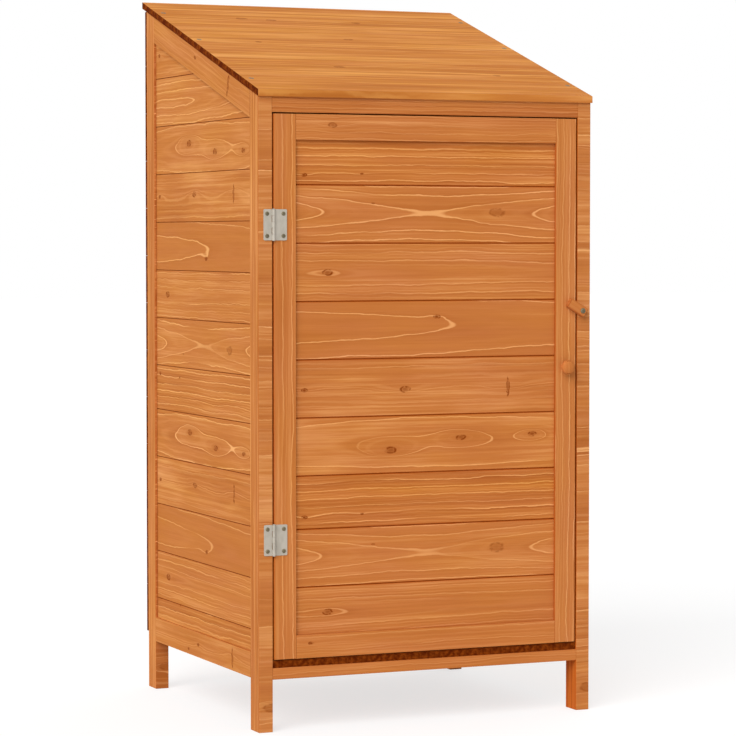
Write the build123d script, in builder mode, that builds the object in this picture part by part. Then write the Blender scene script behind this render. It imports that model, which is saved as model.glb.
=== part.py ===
"""Garden tool shed: a grooved post and rail frame, tongued boards, a lean-to roof and one door."""

import os
from math import atan2, cos, degrees, radians, sin, tan

from build123d import *

os.makedirs("parts", exist_ok=True)

# Overall sizes (millimetres; X to the right, Y to the back, Z up)
roof_width = 555.0
roof_depth = 520.0  # in plan
back_height = 1120.0  # top of the roof at its back edge
front_height = 954.5  # top of the roof at its front edge

# Roof
roof_board = 10.0  # thickness
roof_side_lap = 1.5  # reach past the side frames
roof_front_lap = 4.0  # reach past the front posts
roof_back_lap = 10.0  # reach past the back wall
roof_board_count = 6
roof_first_width = 75.0  # front board, in plan
roof_last_width = 79.0  # back board, in plan
front_screw_row = 15.0  # ahead of the first seam, in plan
middle_screw_row = 27.0  # behind the middle seam, in plan
back_screw_row = 10.0  # behind the last seam, in plan

# Frame
post_width = 22.0
post_depth = 35.0
rail_base = 78.5  # underside of the bottom rails
side_bottom_rail = 39.0  # height
side_top_rail = 40.0  # width, square to the slope
flat_rail = 17.0  # height of the front and back bottom rails and the bearer
front_top_rail = 24.0  # height at its front face
back_top_rail = 40.0  # height at its back face

# Boards held in grooves
wall_board = 8.0  # thickness
groove_depth = 8.0
groove_slip = 0.2  # on each face of a board or tenon
end_slip = 0.5  # left at the bottom of a groove
panel_recess = 4.0  # from the frame's face to the boards
tongue_length = 4.0
tongue_thickness = 2.6
tongue_slip = 0.2
seam_gap = 0.4  # between the edges of neighbouring boards
board_bevel = 1.2  # eased edge along each seam
least_board = 25.0  # the last board of a wall is never narrower

# Board widths in the walls
side_first_board = 33.0  # shown above the bottom rail
side_board_width = 77.0
side_narrow_board = 71.5
side_narrow_place = 5
back_wall_base = 91.0
back_board_width = 77.0

# Floor
floor_board = 11.0  # thickness
floor_board_count = 4
floor_side_gap = 1.0
floor_set_back = 3.0  # from the front posts' face
floor_back_gap = 0.5

# Shelves on ledgers
shelf_board = 12.0  # thickness
shelf_board_count = 4
shelf_slot = 10.0  # between boards
shelf_side_gap = 1.0
shelf_tops = {"lower": 365.0, "upper": 625.0}
ledger_width = 18.0
ledger_height = 22.0
ledger_door_gap = 3.0  # behind the closed door
shelf_set_back = 2.0  # behind the ledgers' front ends
shelf_back_gap = 1.0

# Dowels between the cross rails and the frames
dowel_diameter = 8.0
dowel_length = 30.0
dowel_slip = 0.05
dowel_end_slip = 0.5

# Door
door_thickness = 22.0
door_stile = 35.0
door_top_rail = 38.0
door_bottom_rail = 35.0
door_side_gap = 3.0
door_top_gap = 2.0
door_floor_gap = 1.5
door_recess = 4.5
door_first_board = 71.0  # shown above the bottom rail
door_board_width = 86.8
door_narrow_board = 79.7
door_narrow_place = 2
stop_depth = 12.0
stop_height = 16.0
stop_gap = 0.3

# Hinges
hinge_height = 46.0
hinge_leaf = 1.2  # thickness
frame_leaf_reach = 15.5  # from the pin's axis
door_leaf_reach = 21.5
hinge_centres = {"upper": 755.0, "lower": 287.0}
knuckle_count = 5
knuckle_gap = 0.3
knuckle_clearance = 0.4  # between a leaf's edge and the other leaf's barrel
hinge_pin = 2.2  # diameter
pin_slip = 0.05
pin_head = 0.8
leaf_corner = 2.0  # radius
leaf_screw_inset = 5.5  # from the leaf's outer edge
leaf_screw_end = 6.5  # from the leaf's top and bottom

# Screws
screw_slip = 0.05
leaf_screw_diameter = 3.0
leaf_screw_length = 16.0
leaf_head_diameter = 6.4
leaf_head_height = 1.3
roof_screw_diameter = 4.0
roof_screw_length = 38.0
roof_head_diameter = 8.0
button_screw_diameter = 4.0
button_screw_depth = 20.0  # in the post
button_head_diameter = 8.4
button_head_height = 2.2
knob_screw_diameter = 4.0
knob_screw_bite = 10.0  # in the knob
knob_head_diameter = 8.0
knob_head_height = 2.2
knob_screw_slip = 1.0  # left past the screw's point

# Turn button on the latch post
button_reach = 26.0  # from the pivot to the end over the door
button_tail = 7.5
button_width = 15.0
button_thickness = 9.0
button_corner = 3.0
button_tilt = 31.0  # degrees, as it rests across the door's edge
button_inset = 5.0  # pivot, from the post's inner face
button_height = 623.0
button_gap = 0.3

# Knob
knob_diameter = 22.0
knob_waist = 12.0
knob_foot = 14.0
knob_foot_height = 1.5
knob_waist_height = 4.5
knob_rim_height = 8.5
knob_rim = 3.0  # straight edge of the head
knob_rim_radius = 1.2
knob_reach = 15.0
knob_height = 536.0

# Places worked out from the sizes above
slope = atan2(back_height - front_height, roof_depth)
front = (knob_reach - (roof_depth - roof_front_lap)) / 2
frame_depth = roof_depth - roof_front_lap - roof_back_lap - wall_board
back = front + frame_depth
roof_front = front - roof_front_lap
half = roof_width / 2 - roof_side_lap
inner = half - post_width
rail_front = front + post_depth
rail_back = back - post_depth
middle = (front + back) / 2
tenon = groove_depth - end_slip
groove_width = wall_board + 2 * groove_slip
flat_rail_top = rail_base + flat_rail
side_rail_top = rail_base + side_bottom_rail
floor_top = flat_rail_top + floor_board
hands = {"left": -1, "right": 1}


def roof_under(y):
    """Height of the roof boards' underside."""
    return front_height + tan(slope) * (y - roof_front) - roof_board / cos(slope)


def drop(width):
    """Vertical measure of a width taken square to the slope."""
    return width / cos(slope)


roof_normal = (0, -sin(slope), cos(slope))
underside = Plane((0, front, roof_under(front)), x_dir=(1, 0, 0), z_dir=roof_normal)
roof_face = Plane((0, roof_front, front_height), x_dir=(1, 0, 0), z_dir=roof_normal)
front_top_base = roof_under(front) - front_top_rail
back_top_base = roof_under(back) - back_top_rail
door_top = front_top_base - door_top_gap
door_base = floor_top + door_floor_gap
door_half = inner - door_side_gap
door_back = front + door_thickness
knob_x = door_half - door_stile / 2
button_x = inner + button_inset
knuckle_radius = hinge_pin / 2 + pin_slip + hinge_leaf
hinge_axis = (-(inner - door_side_gap / 2), front - knuckle_radius)
door_screw_x = hinge_axis[0] + door_leaf_reach - leaf_screw_inset
frame_screw_x = hinge_axis[0] - frame_leaf_reach + leaf_screw_inset
leaf_screw_ups = (hinge_height / 2 - leaf_screw_end, leaf_screw_end - hinge_height / 2)

# Dowel centres, as (y, z), at the ends of each cross rail
cross_rails = {
    "front_top_rail": (front + post_depth / 2, front_top_base + front_top_rail / 2),
    "front_bottom_rail": (front + post_depth / 2, rail_base + flat_rail / 2),
    "back_top_rail": (back - post_depth / 2, back_top_base + back_top_rail / 2),
    "back_bottom_rail": (back - post_depth / 2, rail_base + flat_rail / 2),
    "floor_bearer": (middle, rail_base + flat_rail / 2),
}

# Seams of the roof and rows of its screws, from the front edge in plan
roof_board_width = (roof_depth - roof_first_width - roof_last_width) / (roof_board_count - 2)
roof_seams = [roof_first_width + i * roof_board_width for i in range(roof_board_count - 1)]
roof_edges = [0.0, *roof_seams, roof_depth]
roof_screw_rows = (
    roof_seams[0] - front_screw_row,
    roof_seams[len(roof_seams) // 2] + middle_screw_row,
    roof_seams[-1] + back_screw_row,
)


def dowel_place(side, rail):
    """Place of the dowel at one end of a cross rail, with its middle on the joint."""
    return Location((side * inner, *cross_rails[rail]), (0, 90, 0))


def roof_screw_places():
    """Places of the roof screws, with +Z out of the roof."""
    return [
        roof_face.location * Location((side * (half - post_width / 2), row / cos(slope), 0))
        for side in hands.values()
        for row in roof_screw_rows
    ]


def leaf_screw_places(x):
    """Places of one row of hinge screws on the front face, with +Z out of the wood."""
    heights = [centre + up for centre in hinge_centres.values() for up in leaf_screw_ups]
    return [Location((x, front, z), (90, 0, 0)) for z in heights]


def side_band(x, y0, y1, below, depth):
    """Strip on a side frame that follows the roof, from below the underside to below + depth."""
    with BuildSketch(Plane.YZ.offset(x)) as band:
        with BuildLine():
            Polyline(
                (y0, roof_under(y0) - below),
                (y1, roof_under(y1) - below),
                (y1, roof_under(y1) - below - depth),
                (y0, roof_under(y0) - below - depth),
                close=True,
            )
        make_face()
    return band.sketch


def side_strip(x, y0, y1, z0, z1):
    """Level strip on a side frame."""
    with BuildSketch(Plane.YZ.offset(x)) as strip:
        with Locations(((y0 + y1) / 2, (z0 + z1) / 2)):
            Rectangle(y1 - y0, z1 - z0)
    return strip.sketch


def board_section(plane, width, thickness, groove=True, tongue=True):
    """Section of one tongued board: plane x runs over its width, plane y into its thickness."""
    low = (thickness - tongue_thickness) / 2
    high = low + tongue_thickness
    start = seam_gap / 2 if groove else 0.0
    end = width - seam_gap / 2 if tongue else width
    outline = [(start, board_bevel), (start + board_bevel, 0), (end - board_bevel, 0), (end, board_bevel)]
    if tongue:
        tip = end + tongue_length
        outline += [(end, low), (tip, low), (tip, high), (end, high)]
    outline += [(end, thickness), (start, thickness)]
    if groove:
        deep = start + tongue_length + tongue_slip
        outline += [(start, high + tongue_slip), (deep, high + tongue_slip)]
        outline += [(deep, low - tongue_slip), (start, low - tongue_slip)]
    with BuildSketch(plane) as section:
        with BuildLine():
            Polyline(*outline, close=True)
        make_face()
    return section.sketch


def seams(base, first, width, top, narrow=0.0, narrow_place=-1):
    """Edges of a wall's boards from base to top, after a first board of its own width."""
    edges = [base, base + first]
    while True:
        step = narrow if len(edges) - 1 == narrow_place else width
        if edges[-1] + step > top - least_board:
            return edges + [top]
        edges.append(edges[-1] + step)


def dome_points(radius, base, top):
    """Ends and middle of an arc from a rim at base to the turning axis at top, square to the axis."""
    rise = top - base
    ball = (radius**2 + rise**2) / (2 * rise)
    half_way = atan2(radius, ball - rise) / 2
    return (radius, base), (ball * sin(half_way), top - ball + ball * cos(half_way)), (0, top)


def screw_profile(shank, length, head, head_height):
    """Half section of a round-headed screw, its head seated at z = 0 and its point below."""
    with BuildSketch(Plane.XZ) as half_section:
        with BuildLine():
            Polyline(
                (0, head_height),
                (0, -length),
                (shank / 2, shank / 2 - length),
                (shank / 2, 0),
                (head / 2, 0),
            )
            ThreePointArc(*dome_points(head / 2, 0, head_height))
        make_face()
    return half_section.sketch


# Posts
post_ends = {"front": (front + post_depth / 2, 1), "back": (back - post_depth / 2, -1)}
for hand, side in hands.items():
    for end, (post_y, inward) in post_ends.items():
        with BuildPart() as post:
            with BuildSketch(Plane.XY):
                with Locations((side * (half - post_width / 2), post_y)):
                    Rectangle(post_width, post_depth)
            extrude(amount=back_height)
            split(bisect_by=underside, keep=Keep.BOTTOM)
            with BuildSketch(Plane.XY.offset(rail_base)):
                groove_x = half - panel_recess - wall_board / 2
                with Locations((side * groove_x, post_y + inward * (post_depth - groove_depth) / 2)):
                    Rectangle(groove_width, groove_depth)
            extrude(amount=back_height, mode=Mode.SUBTRACT)
            with Locations(dowel_place(side, f"{end}_top_rail"), dowel_place(side, f"{end}_bottom_rail")):
                Cylinder(
                    dowel_diameter / 2 + dowel_slip,
                    dowel_length + 2 * dowel_end_slip,
                    mode=Mode.SUBTRACT,
                )
            with Locations(*roof_screw_places()):
                Hole(roof_screw_diameter / 2 + screw_slip, depth=roof_screw_length)
            if end == "front" and side < 0:
                # pilot holes for the hinges' frame leaves
                with Locations(*leaf_screw_places(frame_screw_x)):
                    Hole(leaf_screw_diameter / 2 + screw_slip, depth=leaf_screw_length)
            if end == "front" and side > 0:
                # pilot hole for the turn button's screw
                with Locations(Location((button_x, front, button_height), (90, 0, 0))):
                    Hole(button_screw_diameter / 2 + screw_slip, depth=button_screw_depth)
        post.part.label = f"{hand}_{end}_post"
        export_step(post.part, f"parts/{post.part.label}.step")

# Side frames: bottom rail, sloping top rail and wall boards
for hand, side in hands.items():
    face_x = side * half
    tenon_x = side * (half - panel_recess)
    groove_x = side * (half - panel_recess + groove_slip)

    with BuildPart() as bottom_rail:
        extrude(
            side_strip(face_x, rail_front, rail_back, rail_base, side_rail_top),
            amount=-side * post_width,
        )
        extrude(
            side_strip(tenon_x, rail_front - tenon, rail_back + tenon, rail_base, side_rail_top),
            amount=-side * wall_board,
        )
        extrude(
            side_strip(
                groove_x,
                rail_front - tenon,
                rail_back + tenon,
                side_rail_top - groove_depth,
                side_rail_top,
            ),
            amount=-side * groove_width,
            mode=Mode.SUBTRACT,
        )
        with Locations(dowel_place(side, "floor_bearer")):
            Cylinder(dowel_diameter / 2 + dowel_slip, dowel_length + 2 * dowel_end_slip, mode=Mode.SUBTRACT)
    bottom_rail.part.label = f"{hand}_bottom_rail"
    export_step(bottom_rail.part, f"parts/{bottom_rail.part.label}.step")

    with BuildPart() as top_rail:
        extrude(side_band(face_x, rail_front, rail_back, 0, drop(side_top_rail)), amount=-side * post_width)
        extrude(
            side_band(tenon_x, rail_front - tenon, rail_back + tenon, 0, drop(side_top_rail)),
            amount=-side * wall_board,
        )
        extrude(
            side_band(
                groove_x,
                rail_front - tenon,
                rail_back + tenon,
                drop(side_top_rail - groove_depth),
                drop(groove_depth),
            ),
            amount=-side * groove_width,
            mode=Mode.SUBTRACT,
        )
        with Locations(*roof_screw_places()):
            Hole(roof_screw_diameter / 2 + screw_slip, depth=roof_screw_length)
    top_rail.part.label = f"{hand}_top_rail"
    export_step(top_rail.part, f"parts/{top_rail.part.label}.step")

    wall_cut = underside.offset(-(side_top_rail - tenon))
    wall_top = roof_under(rail_back + tenon) - drop(side_top_rail - tenon)
    wall_edges = seams(
        side_rail_top - groove_depth,
        groove_depth + side_first_board,
        side_board_width,
        wall_top,
        side_narrow_board,
        side_narrow_place,
    )
    with BuildPart() as wall:
        for low, high in zip(wall_edges, wall_edges[1:]):
            section = board_section(
                Plane((tenon_x, middle, low), x_dir=(0, 0, 1), z_dir=(0, -side, 0)),
                high - low,
                wall_board,
                groove=low > wall_edges[0],
                tongue=high < wall_top,
            )
            extrude(section, amount=(rail_back - rail_front) / 2 + tenon, both=True, clean=False)
        split(bisect_by=wall_cut, keep=Keep.BOTTOM)
    wall.part.label = f"{hand}_wall_boards"
    export_step(wall.part, f"parts/{wall.part.label}.step")

# Cross rails that join the two side frames
rail_sections = {
    "front_top_rail": (front_top_base, back_height),
    "front_bottom_rail": (rail_base, flat_rail_top),
    "back_top_rail": (back_top_base, back_height),
    "back_bottom_rail": (rail_base, flat_rail_top),
    "floor_bearer": (rail_base, flat_rail_top),
}
for name, (low, high) in rail_sections.items():
    with BuildPart() as rail:
        with BuildSketch(Plane.YZ):
            with Locations((cross_rails[name][0], (low + high) / 2)):
                Rectangle(post_depth, high - low)
        extrude(amount=inner, both=True)
        split(bisect_by=underside, keep=Keep.BOTTOM)
        with Locations(*[dowel_place(side, name) for side in hands.values()]):
            Cylinder(dowel_diameter / 2 + dowel_slip, dowel_length + 2 * dowel_end_slip, mode=Mode.SUBTRACT)
    rail.part.label = name
    export_step(rail.part, f"parts/{name}.step")

with BuildPart() as dowels:
    with Locations(*[dowel_place(side, name) for name in cross_rails for side in hands.values()]):
        Cylinder(dowel_diameter / 2, dowel_length)
dowels.part.label = "rail_dowels"
export_step(dowels.part, "parts/rail_dowels.step")

# Back wall, laid on the backs of the posts
back_edges = seams(back_wall_base, back_board_width, back_board_width, roof_under(back + wall_board))
with BuildPart() as back_wall:
    for low, high in zip(back_edges, back_edges[1:]):
        section = board_section(
            Plane((0, back + wall_board, low), x_dir=(0, 0, 1), z_dir=(1, 0, 0)),
            high - low,
            wall_board,
            groove=low > back_edges[0],
            tongue=high < back_edges[-1],
        )
        extrude(section, amount=half, both=True, clean=False)
    split(bisect_by=underside, keep=Keep.BOTTOM)
back_wall.part.label = "back_wall_boards"
export_step(back_wall.part, "parts/back_wall_boards.step")

# Floor boards, front to back on the cross rails
floor_width = 2 * (inner - floor_side_gap) / floor_board_count
with BuildPart() as floor:
    for i in range(floor_board_count):
        section = board_section(
            Plane(
                (i * floor_width - inner + floor_side_gap, front + floor_set_back, floor_top),
                x_dir=(1, 0, 0),
                z_dir=(0, 1, 0),
            ),
            floor_width,
            floor_board,
            groove=i > 0,
            tongue=i < floor_board_count - 1,
        )
        extrude(section, amount=frame_depth - floor_set_back - floor_back_gap, clean=False)
floor.part.label = "floor_boards"
export_step(floor.part, "parts/floor_boards.step")

# Ledgers and shelves
shelf_front = door_back + ledger_door_gap
shelf_run = back - shelf_back_gap - shelf_front - shelf_set_back
shelf_width = (shelf_run - (shelf_board_count - 1) * shelf_slot) / shelf_board_count
for level, shelf_top in shelf_tops.items():
    ledger_top = shelf_top - shelf_board
    for hand, side in hands.items():
        with BuildPart() as ledger:
            extrude(
                side_strip(side * inner, shelf_front, back, ledger_top - ledger_height, ledger_top),
                amount=-side * ledger_width,
            )
        ledger.part.label = f"{hand}_{level}_ledger"
        export_step(ledger.part, f"parts/{ledger.part.label}.step")

    with BuildPart() as shelf:
        with BuildSketch(Plane.XY.offset(ledger_top)):
            with Locations((0, shelf_front + shelf_set_back + shelf_run / 2)):
                with GridLocations(0, shelf_width + shelf_slot, 1, shelf_board_count):
                    Rectangle(2 * (inner - shelf_side_gap), shelf_width)
        extrude(amount=shelf_board)
    shelf.part.label = f"{level}_shelf"
    export_step(shelf.part, f"parts/{shelf.part.label}.step")

# Roof boards across the slope, cut upright at the front and back
front_cut = Plane((0, roof_front, 0), x_dir=(1, 0, 0), z_dir=(0, 1, 0))
back_cut = Plane((0, roof_front + roof_depth, 0), x_dir=(1, 0, 0), z_dir=(0, -1, 0))
for i, (low, high) in enumerate(zip(roof_edges, roof_edges[1:])):
    first = i == 0
    last = i == roof_board_count - 1
    low_edge = low / cos(slope) - first * roof_board
    high_edge = high / cos(slope) + last * roof_board
    with BuildPart() as roof:
        section = board_section(
            Plane(
                (0, roof_front + low_edge * cos(slope), front_height + low_edge * sin(slope)),
                x_dir=(0, cos(slope), sin(slope)),
                z_dir=(-1, 0, 0),
            ),
            high_edge - low_edge,
            roof_board,
            groove=not first,
            tongue=not last,
        )
        extrude(section, amount=roof_width / 2, both=True)
        if first:
            split(bisect_by=front_cut, keep=Keep.TOP)
        if last:
            split(bisect_by=back_cut, keep=Keep.TOP)
        with Locations(*roof_screw_places()):
            CounterSinkHole(
                roof_screw_diameter / 2 + screw_slip,
                roof_head_diameter / 2 + screw_slip,
                depth=roof_screw_length,
                counter_sink_angle=90,
            )
    roof.part.label = f"roof_board_{i + 1}"
    export_step(roof.part, f"parts/{roof.part.label}.step")

with BuildPart() as roof_screws:
    head_depth = (roof_head_diameter - roof_screw_diameter) / 2
    with BuildSketch(Plane.XZ) as countersunk:
        with BuildLine():
            Polyline(
                (0, 0),
                (roof_head_diameter / 2, 0),
                (roof_screw_diameter / 2, -head_depth),
                (roof_screw_diameter / 2, roof_screw_diameter / 2 - roof_screw_length),
                (0, -roof_screw_length),
                close=True,
            )
        make_face()
    screw = revolve(axis=Axis.Z, mode=Mode.PRIVATE)
    with Locations(*roof_screw_places()):
        add(screw)
roof_screws.part.label = "roof_screws"
export_step(roof_screws.part, "parts/roof_screws.step")

# Door frame: grooved stiles, tenoned rails and boards
stile_inner = door_half - door_stile
door_groove_y = front + door_recess + wall_board / 2

for name, side in (("door_hinge_stile", -1), ("door_latch_stile", 1)):
    with BuildPart() as stile:
        with BuildSketch(Plane.XY.offset(door_base)):
            with Locations((side * (door_half - door_stile / 2), front + door_thickness / 2)):
                Rectangle(door_stile, door_thickness)
            with Locations((side * (stile_inner + groove_depth / 2), door_groove_y)):
                Rectangle(groove_depth, groove_width, mode=Mode.SUBTRACT)
        extrude(amount=door_top - door_base)
        if side < 0:
            with Locations(*leaf_screw_places(door_screw_x)):
                Hole(leaf_screw_diameter / 2 + screw_slip, depth=leaf_screw_length)
        else:
            with Locations(Location((knob_x, front, knob_height), (90, 0, 0))):
                Hole(knob_screw_diameter / 2 + screw_slip, depth=door_thickness)
    stile.part.label = name
    export_step(stile.part, f"parts/{name}.step")

door_rails = {
    "door_top_rail": (door_top - door_top_rail, door_top, -1),
    "door_bottom_rail": (door_base, door_base + door_bottom_rail, 1),
}
for name, (low, high, inward) in door_rails.items():
    with BuildPart() as door_rail:
        groove_z = (high if inward > 0 else low) - inward * groove_depth / 2
        with BuildSketch(Plane.YZ):
            with Locations((front + door_thickness / 2, (low + high) / 2)):
                Rectangle(door_thickness, high - low)
        extrude(amount=stile_inner, both=True)
        with BuildSketch(Plane.YZ):
            with Locations((door_groove_y, (low + high) / 2)):
                Rectangle(wall_board, high - low)
        extrude(amount=stile_inner + tenon, both=True)
        with BuildSketch(Plane.YZ):
            with Locations((door_groove_y, groove_z)):
                Rectangle(groove_width, groove_depth)
        extrude(amount=stile_inner + tenon, both=True, mode=Mode.SUBTRACT)
    door_rail.part.label = name
    export_step(door_rail.part, f"parts/{name}.step")

door_rail_top = door_base + door_bottom_rail
door_edges = seams(
    door_rail_top - groove_depth,
    groove_depth + door_first_board,
    door_board_width,
    door_top - door_top_rail + tenon,
    door_narrow_board,
    door_narrow_place,
)
for i, (low, high) in enumerate(zip(door_edges, door_edges[1:])):
    with BuildPart() as door_board:
        section = board_section(
            Plane((0, front + door_recess, low), x_dir=(0, 0, 1), z_dir=(-1, 0, 0)),
            high - low,
            wall_board,
            groove=i > 0,
            tongue=i < len(door_edges) - 2,
        )
        extrude(section, amount=stile_inner + tenon, both=True)
    door_board.part.label = f"door_board_{i + 1}"
    export_step(door_board.part, f"parts/{door_board.part.label}.step")

# Batten under the front top rail that the closed door meets
with BuildPart() as door_stop:
    with BuildSketch(Plane.YZ):
        with Locations((door_back + stop_gap + stop_depth / 2, front_top_base - stop_height / 2)):
            Rectangle(stop_depth, stop_height)
    extrude(amount=inner, both=True)
door_stop.part.label = "door_stop"
export_step(door_stop.part, "parts/door_stop.step")

# Hinges: leaves laid on the front faces, with their barrel over the gap beside the door
knuckle_pitch = hinge_height / knuckle_count
barrel_edge = knuckle_radius + knuckle_clearance
leaf_sides = {
    "frame": (-1, frame_leaf_reach, frame_screw_x, 0),
    "door": (1, door_leaf_reach, door_screw_x, 1),
}
for level, hinge_z in hinge_centres.items():
    for owner, (side, reach, screw_x, first_knuckle) in leaf_sides.items():
        with BuildPart() as leaf:
            with BuildSketch(Plane((hinge_axis[0], front, hinge_z), x_dir=(1, 0, 0), z_dir=(0, -1, 0))):
                with Locations((side * (barrel_edge + reach) / 2, 0)):
                    plate = Rectangle(reach - barrel_edge, hinge_height)
                outer_corners = plate.vertices().group_by(Axis.X)[-1 if side > 0 else 0]
                fillet(outer_corners, leaf_corner)
            extrude(amount=hinge_leaf)
            for i in range(first_knuckle, knuckle_count, 2):
                knuckle_z = hinge_z - hinge_height / 2 + i * knuckle_pitch
                with BuildSketch(Plane.XY.offset(knuckle_z + knuckle_gap / 2)):
                    with Locations(hinge_axis):
                        Circle(knuckle_radius)
                    with Locations((hinge_axis[0] + side * barrel_edge / 2, front - hinge_leaf / 2)):
                        Rectangle(barrel_edge, hinge_leaf)
                extrude(amount=knuckle_pitch - knuckle_gap)
            with Locations((*hinge_axis, hinge_z)):
                Cylinder(hinge_pin / 2 + pin_slip, hinge_height, mode=Mode.SUBTRACT)
            with Locations(*leaf_screw_places(screw_x)):
                Cylinder(leaf_screw_diameter / 2 + screw_slip, 2 * hinge_leaf, mode=Mode.SUBTRACT)
        leaf.part.label = f"{level}_hinge_{owner}_leaf"
        export_step(leaf.part, f"parts/{leaf.part.label}.step")

    with BuildPart() as pin:
        with Locations((*hinge_axis, hinge_z)):
            Cylinder(hinge_pin / 2, hinge_height)
            with Locations((0, 0, (hinge_height + pin_head) / 2), (0, 0, -(hinge_height + pin_head) / 2)):
                Cylinder(knuckle_radius, pin_head)
    pin.part.label = f"{level}_hinge_pin"
    export_step(pin.part, f"parts/{pin.part.label}.step")

for owner, (side, reach, screw_x, first_knuckle) in leaf_sides.items():
    with BuildPart() as leaf_screws:
        profile = screw_profile(
            leaf_screw_diameter,
            leaf_screw_length,
            leaf_head_diameter,
            leaf_head_height,
        )
        screw = revolve(profile, axis=Axis.Z, mode=Mode.PRIVATE)
        with Locations(*[place * Location((0, 0, hinge_leaf)) for place in leaf_screw_places(screw_x)]):
            add(screw)
    leaf_screws.part.label = f"hinge_{owner}_screws"
    export_step(leaf_screws.part, f"parts/{leaf_screws.part.label}.step")

# Turn button, tilted across the door's edge, and the screw that it turns on
tilt = radians(button_tilt)
button_plane = Plane(
    (button_x, front - button_gap, button_height),
    x_dir=(cos(tilt), 0, -sin(tilt)),
    z_dir=(0, -1, 0),
)
with BuildPart() as button:
    with BuildSketch(button_plane):
        with Locations(((button_tail - button_reach) / 2, 0)):
            RectangleRounded(button_reach + button_tail, button_width, button_corner)
        Circle(button_screw_diameter / 2 + screw_slip, mode=Mode.SUBTRACT)
    extrude(amount=button_thickness)
    chamfer(button.faces().sort_by(Axis.Y)[0].outer_wire().edges(), board_bevel)
button.part.label = "turn_button"
export_step(button.part, "parts/turn_button.step")

with BuildPart() as button_screw:
    button_stack = button_thickness + 2 * button_gap
    profile = screw_profile(
        button_screw_diameter,
        button_stack + button_screw_depth,
        button_head_diameter,
        button_head_height,
    )
    screw = revolve(profile, axis=Axis.Z, mode=Mode.PRIVATE)
    with Locations(Location((button_x, front - button_stack, button_height), (90, 0, 0))):
        add(screw)
button_screw.part.label = "turn_button_screw"
export_step(button_screw.part, "parts/turn_button_screw.step")

# Knob, turned about the screw that holds it from behind
knob_seat = (knob_x, front, knob_height)
with BuildPart() as knob:
    with BuildSketch(Plane(knob_seat, x_dir=(1, 0, 0), z_dir=(0, 0, -1))) as knob_profile:
        with BuildLine():
            Polyline((0, knob_reach), (0, 0), (knob_foot / 2, 0), (knob_foot / 2, knob_foot_height))
            ThreePointArc(
                (knob_foot / 2, knob_foot_height),
                (knob_waist / 2, knob_waist_height),
                (knob_diameter / 2, knob_rim_height),
            )
            Line((knob_diameter / 2, knob_rim_height), (knob_diameter / 2, knob_rim_height + knob_rim))
            ThreePointArc(*dome_points(knob_diameter / 2, knob_rim_height + knob_rim, knob_reach))
        make_face()
        fillet(knob_profile.vertices().group_by(Axis.X)[-1], knob_rim_radius)
    revolve(axis=Axis(knob_seat, (0, -1, 0)))
    with Locations(Location(knob_seat, (90, 0, 0))):
        Cylinder(
            knob_screw_diameter / 2 + screw_slip,
            2 * (knob_screw_bite + knob_screw_slip),
            mode=Mode.SUBTRACT,
        )
knob.part.label = "door_knob"
export_step(knob.part, "parts/door_knob.step")

with BuildPart() as knob_screw:
    profile = screw_profile(
        knob_screw_diameter,
        door_thickness + knob_screw_bite,
        knob_head_diameter,
        knob_head_height,
    )
    screw = revolve(profile, axis=Axis.Z, mode=Mode.PRIVATE)
    with Locations(Location((knob_x, door_back, knob_height), (-90, 0, 0))):
        add(screw)
knob_screw.part.label = "knob_screw"
export_step(knob_screw.part, "parts/knob_screw.step")

print("roof slope", round(degrees(slope), 2), "degrees; front face at y =", round(front, 2))
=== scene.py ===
import math

import bmesh
import bpy
from mathutils import Matrix, Vector


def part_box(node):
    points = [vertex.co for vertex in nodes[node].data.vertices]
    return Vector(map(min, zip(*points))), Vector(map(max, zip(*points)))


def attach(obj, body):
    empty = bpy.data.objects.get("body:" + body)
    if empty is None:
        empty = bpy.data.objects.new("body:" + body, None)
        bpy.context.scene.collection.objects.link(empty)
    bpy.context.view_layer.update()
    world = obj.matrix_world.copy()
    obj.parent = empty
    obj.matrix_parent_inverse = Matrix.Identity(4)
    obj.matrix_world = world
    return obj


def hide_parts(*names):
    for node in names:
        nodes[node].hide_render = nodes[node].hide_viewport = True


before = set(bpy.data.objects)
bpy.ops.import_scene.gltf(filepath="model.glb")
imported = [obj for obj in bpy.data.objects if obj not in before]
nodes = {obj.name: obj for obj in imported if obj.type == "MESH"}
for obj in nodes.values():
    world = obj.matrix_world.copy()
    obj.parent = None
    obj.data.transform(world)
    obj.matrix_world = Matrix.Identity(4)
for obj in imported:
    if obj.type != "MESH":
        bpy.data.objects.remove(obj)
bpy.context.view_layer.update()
print("frame loaded:", len(nodes), "nodes")


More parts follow.
